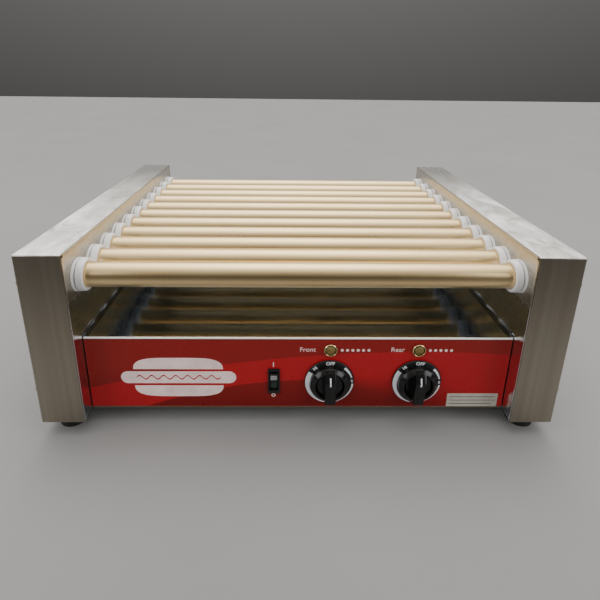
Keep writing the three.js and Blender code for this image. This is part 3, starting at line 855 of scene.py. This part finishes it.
def add_label():
    """A pasted label at the lower right, with three grey lines in place of words."""
    low, high = OVERLAY
    left, right = high[0] - 66 * MM, high[0] - 6 * MM
    foot, top = low[2] + 0.4 * MM, low[2] + 18.6 * MM
    margin, half_line = 3 * MM, 0.55 * MM
    sticker = plate([rectangle(left, right, foot, top, 0.6 * MM)], 0.16 * MM, 0.04 * MM)
    on_panel(sticker, out=FILM_LIFT)
    add("label", finished(sticker, "label"), "white_print", "chassis", material=PAPER)
    lines = []
    for up, short in ((4.2 * MM, 4 * MM), (8.9 * MM, 0), (13.6 * MM, 0)):
        z = foot + up
        line = rectangle(left + margin, right - margin - short, z - half_line, z + half_line)
        lines.append(plate([line], 0.05 * MM))
    words = on_panel(together(*lines), out=0.19 * MM)
    add("label_lines", finished(words, "lines"), "control_body", "chassis", material=INK)


# ---- Knobs ----
SKIRT_TOP = 2.6 * MM
KNOB_INK = 0.1 * MM
SHAFT_HOLE = 3.6 * MM
GRIP_WIDTH = 12.2 * MM


def arc_band(start, end, outer, wide_start, wide_end, steps=40):
    """An outline that follows a circle of radius outer, between two angles in degrees, and tapers."""
    rim, inside = [], []
    for k in range(steps + 1):
        t = k / steps
        turn = math.radians(start + (end - start) * t)
        inner = outer - wide_start - (wide_end - wide_start) * t ** 1.5
        rim.append((outer * math.cos(turn), outer * math.sin(turn)))
        inside.append((inner * math.cos(turn), inner * math.sin(turn)))
    return rim + list(reversed(inside))


def knob_skirt():
    """The flat round plate that carries the marks, with its edge rounded."""
    return lathe(corners([
        (SHAFT_HOLE, 0.8 * MM), (28.5 * MM, 0.8 * MM), (28.5 * MM, 1.8 * MM, 0.5 * MM),
        (27.9 * MM, SKIRT_TOP, 0.4 * MM), (SHAFT_HOLE, SKIRT_TOP)]), 96)


def knob_hub():
    """A round hub whose face is dished inside a thin crest."""
    return lathe(corners([
        (SHAFT_HOLE, 1.2 * MM), (22.6 * MM, 1.2 * MM), (22.2 * MM, 8.2 * MM, 1.2 * MM),
        (18.2 * MM, 11.9 * MM, 0.9 * MM), (16.6 * MM, 11.8 * MM, 0.7 * MM), (14.6 * MM, 8.4 * MM, 2 * MM),
        (SHAFT_HOLE, 7.6 * MM)], 6), 96)


def knob_grip():
    """The bar across the hub: it slopes up from the crest, then runs level to the far end."""
    side = corners([
        (21.8 * MM, 4 * MM), (21.4 * MM, 9.4 * MM, 1.6 * MM), (9 * MM, 17.4 * MM, 0.8 * MM),
        (-19 * MM, 18.8 * MM, 2.4 * MM), (-20.8 * MM, 4 * MM)], 6)
    bm = plate([side], GRIP_WIDTH, 0.9 * MM)
    placed(bm, Matrix.Translation((0, 0, -GRIP_WIDTH / 2)))
    return placed(bm, UPRIGHT)


def pointer():
    """A thin white line that follows the grip's slope and top, let into it and a little proud."""
    path = [(14.2, 14.25), (9.3, 17.38), (8.6, 17.52), (5.6, 17.68)]  # along and up, in mm
    half, sunk, proud = 0.75, -0.3, 0.12
    section = ((-half, sunk), (half, sunk), (half, proud), (-half, proud))
    bm = bmesh.new()
    rows = []
    for y, z in path:
        rows.append([bm.verts.new((x * MM, y * MM, (z + up) * MM)) for x, up in section])
    for a, b in zip(rows, rows[1:]):
        for k in range(4):
            bm.faces.new((a[k], a[(k + 1) % 4], b[(k + 1) % 4], b[k]))
    bm.faces.new(rows[0])
    bm.faces.new(reversed(rows[-1]))
    return bm


def skirt_marks():
    """OFF at the top, HI beside it, a wedge that thins down the left, and a band up the right that
    breaks off at LO. Sizes are in mm and angles in degrees from the right."""
    marks = []
    words = (("OFF", 5.8, 89, 24.9), ("HI", 5.0, 132, 24.9), ("LO", 2.6, 4, 26))
    for text, size, angle, radius in words:
        turn = Matrix.Rotation(math.radians(angle - 90), 4, "Z")
        letters = lettering(text, size * MM, KNOB_INK, 0.16 * MM)
        marks.append(placed(letters, turn @ Matrix.Translation((0, radius * MM, SKIRT_TOP))))
    bands = ((149, 262, 27.8, 5.8, 0.7), (48, 14, 27, 3.0, 1.5), (-4, -72, 27.8, 1.9, 0.6))
    for start, end, outer, wide_start, wide_end in bands:
        band = plate([arc_band(start, end, outer * MM, wide_start * MM, wide_end * MM)], KNOB_INK)
        marks.append(placed(band, Matrix.Translation((0, 0, SKIRT_TOP))))
    return together(*marks)


def add_knobs():
    """The rear knob sits a few degrees off the front one's angle, as a hand leaves it."""
    for zone, turn in (("front", 0), ("rear", -4)):
        node = zone + "_knob"
        spot = middle_of(node)
        parts = {
            "skirt": (knob_skirt(), "black_plastic"), "hub": (knob_hub(), "black_gloss"),
            "grip": (knob_grip(), "black_gloss"), "pointer": (pointer(), "white_print"),
            "marks": (skirt_marks(), "white_print")}
        for part, (bm, slot) in parts.items():
            on_panel(bm, spot.x, spot.z, turn=turn)
            nodes = [node] if part == "skirt" else []
            ink = KNOB_PRINT if slot == "white_print" else None
            add(f"{zone}_knob_{part}", finished(bm, part, 30), slot, node, *nodes, material=ink)


# ---- Lamps and switch, drawn as on_panel takes them: X right, Y up, Z out of the panel ----
LENS_FOOT = 0.6 * MM
ROCKER_REACH = 11.7 * MM  # from the rocker's middle to either end
ROCKER_END = 2.1 * MM  # how high its top is at the ends
ROCKER_DIP = 0.9 * MM  # and in the middle


def lamp_rim_shape():
    return lathe(corners([
        (6.1 * MM, 0.3 * MM), (7.8 * MM, 0.3 * MM, 0.2 * MM), (7.7 * MM, 1.9 * MM, 0.9 * MM),
        (6.6 * MM, 2.9 * MM, 0.6 * MM), (6.1 * MM, 1.4 * MM, 0.2 * MM)]), 64)


def lamp_lens_shape():
    """A low dome on a short straight side, standing on its holder."""
    radius = 5.6 * MM
    return lathe([
        (0, LENS_FOOT), (radius, LENS_FOOT), (radius, 1.6 * MM), (5.2 * MM, 2.6 * MM),
        (4.3 * MM, 3.4 * MM), (2.6 * MM, 4.0 * MM), (1.2 * MM, 4.25 * MM), (0, 4.3 * MM)], 48)


def lamp_holder_shape():
    """The lamp's body behind the panel."""
    radius, depth = 5.8 * MM, 28 * MM
    return lathe(corners([
        (0, -depth), (radius, -depth, 0.5 * MM), (radius, LENS_FOOT), (0, LENS_FOOT)]), 32)


def add_lamps():
    """Each lamp: a thin bright rim, a dark groove, and a domed lens in a black holder."""
    for zone in ("front", "rear"):
        node = zone + "_pilot_lamp"
        spot = middle_of(node)
        rim = on_panel(lamp_rim_shape(), spot.x, spot.z)
        lens = on_panel(lamp_lens_shape(), spot.x, spot.z)
        holder = on_panel(lamp_holder_shape(), spot.x, spot.z)
        add(zone + "_lamp_rim", finished(rim, "rim"), "lamp_rim", "chassis", node)
        add(zone + "_lamp_lens", finished(lens, "lens", 50), "amber_lens", "chassis")
        add(zone + "_lamp_holder", finished(holder, "holder"), "black_plastic", "chassis")


def switch_body_shape():
    """A bezel round the opening, with walls behind it that hold the rocker, and the closed back."""
    low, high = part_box("power_switch_body")
    half_x, half_z = (high[0] - low[0]) / 2, (high[2] - low[2]) / 2
    open_x, open_z = 4.9 * MM, 12.5 * MM
    wall_x, wall_z = 5.8 * MM, 14 * MM
    deep, deepest = -9 * MM, -22 * MM
    bezel = plate([
        rectangle(-half_x, half_x, -half_z, half_z, 1.2 * MM),
        rectangle(-open_x, open_x, -open_z, open_z, 0.4 * MM)], 1.6 * MM, 0.4 * MM)
    placed(bezel, Matrix.Translation((0, 0, 0.3 * MM)))
    walls = plate([
        rectangle(-wall_x, wall_x, -wall_z, wall_z, 0.5 * MM),
        rectangle(-open_x, open_x, -open_z, open_z, 0.3 * MM)], 9.4 * MM)
    placed(walls, Matrix.Translation((0, 0, deep)))
    back = rounded_box((-wall_x, -wall_z, deepest), (wall_x, wall_z, deep), 0.4 * MM, 2)
    return together(bezel, walls, back)


def rocker_shape():
    """The rocker level: a shallow V on top, between two short ends, and a narrower foot."""
    width, end, chin, foot = 9.1 * MM, ROCKER_REACH, 0.6 * MM, -6 * MM
    side = corners([
        (-8 * MM, foot, 0.5 * MM), (8 * MM, foot, 0.5 * MM), (end, chin, 0.4 * MM),
        (end, ROCKER_END, 0.5 * MM), (0, ROCKER_DIP, 1.5 * MM), (-end, ROCKER_END, 0.5 * MM),
        (-end, chin, 0.4 * MM)])
    rocker = plate([side], width, 0.25 * MM)
    placed(rocker, Matrix.Translation((0, 0, -width / 2)))
    return placed(rocker, UPRIGHT)


def add_switch():
    """The switch at O: the rocker's lower half is pressed in, and each half carries a window."""
    spot = middle_of("power_switch_body")
    body = on_panel(switch_body_shape(), spot.x, spot.z)
    add("switch_body", finished(body, "switch"), "black_plastic", "chassis", "power_switch_body")
    ride = "power_switch_rocker"
    tilt = Matrix.Rotation(math.radians(12), 4, "X")
    rocker = on_panel(placed(rocker_shape(), tilt), spot.x, spot.z)
    add("switch_rocker", finished(rocker, "rocker"), "black_plastic", ride, ride)
    slope = math.atan2(ROCKER_END - ROCKER_DIP, ROCKER_REACH)
    for name, sign, material in (("upper_window", 1, GREY), ("lower_window", -1, GREEN)):
        pane = plate([rectangle(-3.7 * MM, 3.7 * MM, -4.1 * MM, 4.1 * MM, 0.5 * MM)], 0.25 * MM, 0.08 * MM)
        lean = Matrix.Rotation(sign * slope, 4, "X")
        placed(pane, tilt @ Matrix.Translation((0, sign * 6 * MM, 1.46 * MM)) @ lean)
        on_panel(pane, spot.x, spot.z)
        add("rocker_" + name, finished(pane, name), "black_plastic", ride, material=material)


# ---- Feet, gland and what keeps its CAD shape ----
def add_feet():
    """Rubber feet that widen towards the top, each with a screw's hole up its middle."""
    hole, widest = 3.2 * MM, 17 * MM
    for name in FEET:
        low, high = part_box(name)
        spot = middle_of(name)
        height = high[2] - low[2]
        foot = lathe(corners([
            (hole, 5 * MM), (4.6 * MM, 0), (15 * MM, 0, 1.2 * MM), (15.8 * MM, height * 0.45, 3 * MM),
            (widest, height - 3 * MM, 1 * MM), (widest, height, 0.6 * MM), (hole, height)]), 64)
        placed(foot, Matrix.Translation((spot.x, spot.y, low[2])))
        add("moulded_" + name, finished(foot, "foot", 40), "rubber", "chassis", name)


def add_gland():
    """The cord's gland: a thread through the back wall, a hexagon on the wall and a round cap."""
    low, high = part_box("cord_gland")
    spot = middle_of("cord_gland")
    inside, length = 8 * MM, 21.9 * MM
    wall = low[1] + inside
    bore, thread, seat, neck = 4 * MM, 7.5 * MM, 0.3 * MM, 9.6 * MM
    body = lathe(corners([
        (bore, -inside), (thread, -inside, 0.4 * MM), (thread, seat), (neck, seat),
        (neck, 9 * MM), (9 * MM, 10 * MM), (9 * MM, 17 * MM, 1 * MM), (6.4 * MM, length, 1 * MM),
        (bore, length, 0.4 * MM)]), 64)
    nut = plate([circle(0, 0, 12 * MM, 6), circle(0, 0, 9.4 * MM, 32)], 6.6 * MM, 0.5 * MM)
    placed(nut, Matrix.Translation((0, 0, 0.35 * MM)))
    backwards = Matrix.Rotation(math.radians(-90), 4, "X")
    gland = placed(together(body, nut), Matrix.Translation((spot.x, wall, spot.z)) @ backwards)
    add("cord_gland_body", finished(gland, "gland"), "black_plastic", "chassis", "cord_gland")


def finish_cad_nodes():
    """Gives each CAD node the material of its slot. The inner pieces show with their CAD shape."""
    for sub in frame["record"]["subparts"]:
        mesh = frame["nodes"][sub["node"]].data
        mesh.materials.clear()
        mesh.materials.append(MATERIALS[sub["material_slot"]])


# ---- Floor and light ----
def make_world():
    """A soft dome of light: a narrow lobe and a wide one, both high up at the back, over a dim horizon."""
    world = bpy.data.worlds.new("studio")
    world.use_nodes = True
    bpy.context.scene.world = world
    tree = world.node_tree

    def node(kind, *values, **settings):
        made = tree.nodes.new(kind)
        for key, value in settings.items():
            setattr(made, key, value)
        for socket, value in zip(made.inputs, values):
            if isinstance(value, bpy.types.NodeSocket):
                tree.links.new(value, socket)
            elif value is not None:
                socket.default_value = value
        return made.outputs

    def math_node(operation, *values):
        return node("ShaderNodeMath", *values, operation=operation)[0]

    direction = node("ShaderNodeTexCoord")["Generated"]
    tilt = math.radians(66)
    axis = (0, math.cos(tilt), math.sin(tilt))
    towards = node("ShaderNodeVectorMath", direction, axis, operation="DOT_PRODUCT")["Value"]
    towards = math_node("MAXIMUM", towards, 0.0)
    base = 0.20
    wide = math_node("MULTIPLY_ADD", math_node("POWER", towards, 1.6), 1.8, base)
    dome = math_node("MULTIPLY_ADD", math_node("POWER", towards, 8.0), 2.9, wide)
    height = node("ShaderNodeSeparateXYZ", direction)["Z"]
    dim, low, high = 0.17, 0.14, 0.38
    horizon = node("ShaderNodeMapRange", height, low, high, dim, 1.0, interpolation_type="SMOOTHSTEP")[0]
    background = tree.nodes["Background"]
    background.inputs["Color"].default_value = (1.0, 0.975, 0.94, 1)
    tree.links.new(math_node("MULTIPLY", dome, horizon), background.inputs["Strength"])


def soft_box(name, place, target, size, radiance):
    """A rectangular light that faces a target."""
    lamp = bpy.data.lights.new(name, "AREA")
    lamp.shape = "RECTANGLE"
    lamp.size, lamp.size_y = size
    lamp.energy = radiance * math.pi * size[0] * size[1]
    light = bpy.data.objects.new(name, lamp)
    light.location = place
    light.rotation_euler = (Vector(target) - Vector(place)).to_track_quat("-Z", "Y").to_euler()
    bpy.context.scene.collection.objects.link(light)


def make_studio():
    """The floor, the dome of light, and a soft box to either side in front of the grill."""
    floor = bpy.data.meshes.new("floor")
    reach = 6.0
    around = [(-reach, -reach, 0), (reach, -reach, 0), (reach, reach, 0), (-reach, reach, 0)]
    floor.from_pydata(around, [], [(0, 1, 2, 3)])
    floor.materials.append(floor_finish())
    stage = bpy.data.objects.new("floor", floor)
    bpy.context.scene.collection.objects.link(stage)
    make_world()
    for side in (-1, 1):
        soft_box(f"side_{side}", (side * 1.9, -1.2, 0.95), (0, -0.2, 0.08), (1.3, 1.1), 3.4)


finish_cad_nodes()
add_rollers()
add_towers()
add_tray()
add_overlay()
add_pictogram()
add_words_and_dots()
add_switch_marks()
add_label()
add_knobs()
add_lamps()
add_switch()
add_feet()
add_gland()
make_studio()
